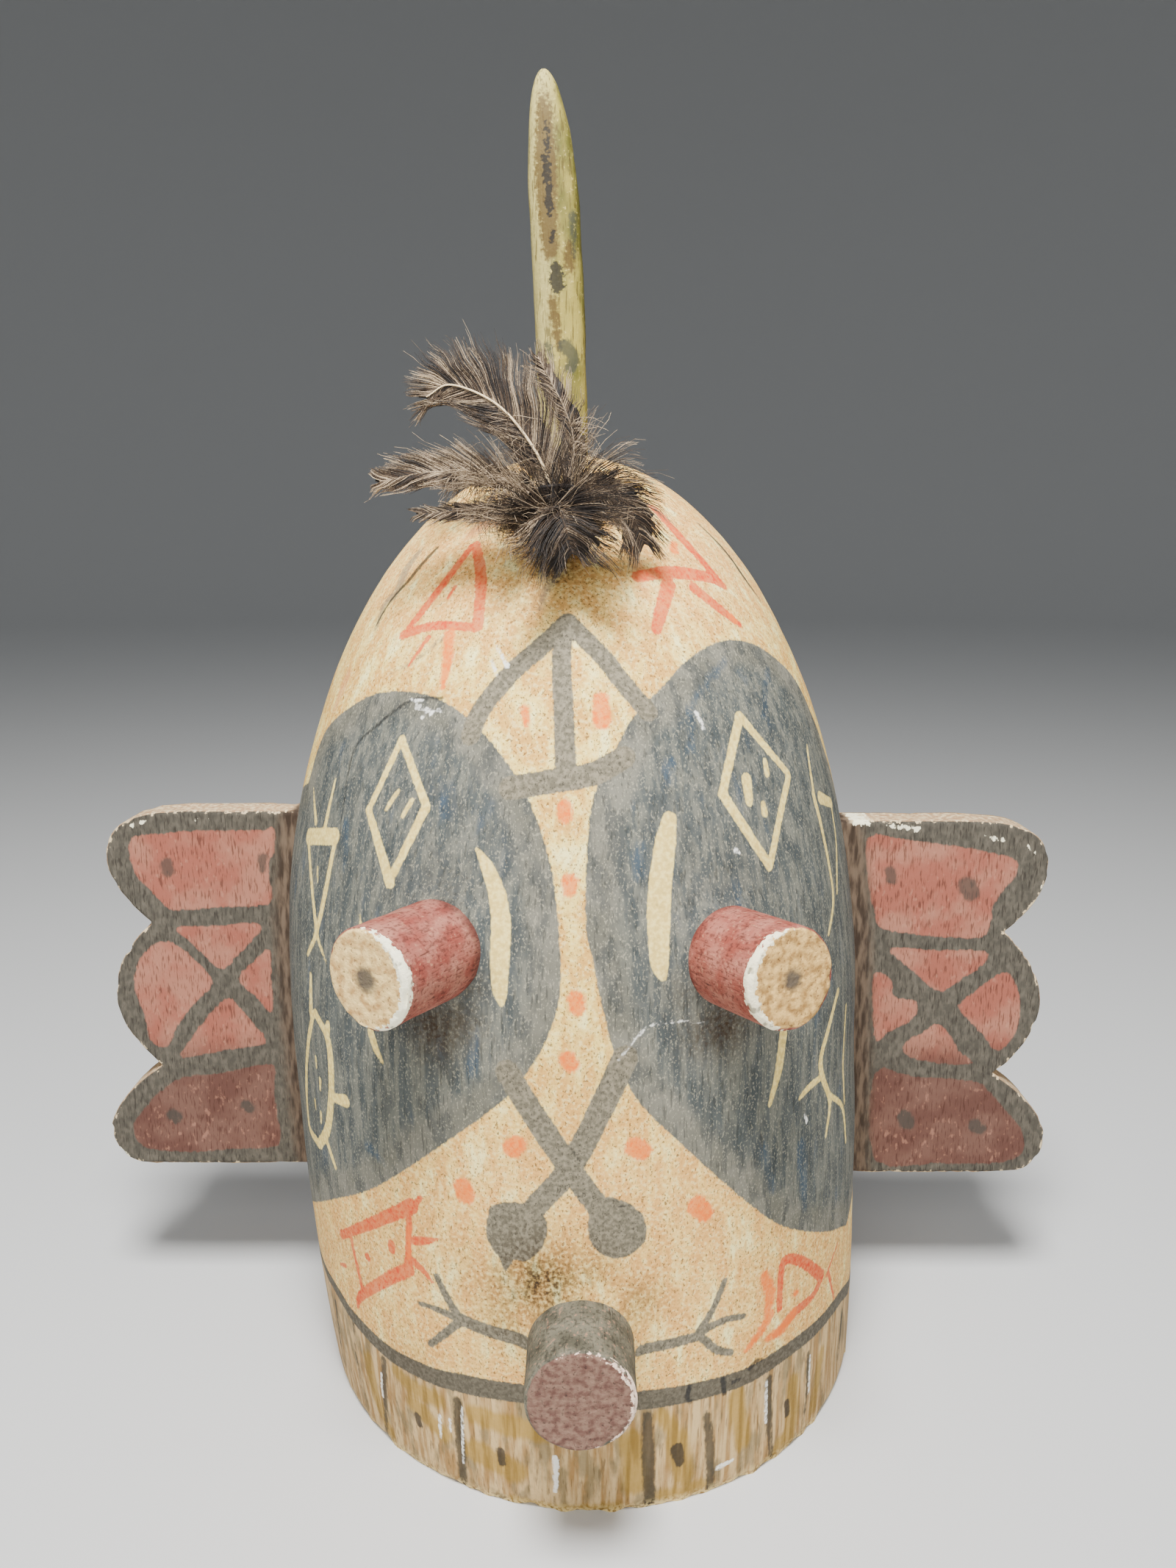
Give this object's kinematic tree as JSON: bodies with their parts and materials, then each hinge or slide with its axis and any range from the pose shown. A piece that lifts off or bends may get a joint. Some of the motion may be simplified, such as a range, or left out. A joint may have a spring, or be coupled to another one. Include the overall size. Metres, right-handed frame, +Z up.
{
  "type": "kachina mask",
  "caption": "Painted wooden kachina mask: a hollow half-log shell with a domed top, scalloped ear boards, round eye and snout pegs, a horn and a tuft of feathers.",
  "frame": {"origin": "middle of the overall box on the plane that the cut foot stands on", "axes": "+Z up, -Y the way the face looks, +X to the right in a front view"},
  "size_m": [0.43, 0.1894, 0.5285],
  "materials": {
    "shell_wood": "matt earth paint on carved wood, worn and dusty",
    "ear_wood": "matt brick-red and dark grey paint on a sawn board",
    "eye_peg_wood": "matt brick-red paint, bare end grain",
    "snout_wood": "matt grey-green paint, maroon end",
    "horn_wood": "worn yellow-green paint with dark spots",
    "feather": "soft dark brown down and barbs"
  },
  "bodies": {
    "root": {"mask_shell": "shell_wood", "left_ear": "ear_wood", "right_ear": "ear_wood", "left_eye_peg": "eye_peg_wood", "right_eye_peg": "eye_peg_wood", "snout_peg": "snout_wood", "horn": "horn_wood", "back_left_feather": "feather", "back_feather": "feather", "left_feather": "feather", "low_left_feather": "feather", "right_feather": "feather", "front_feather": "feather"}
  },
  "joints": []
}
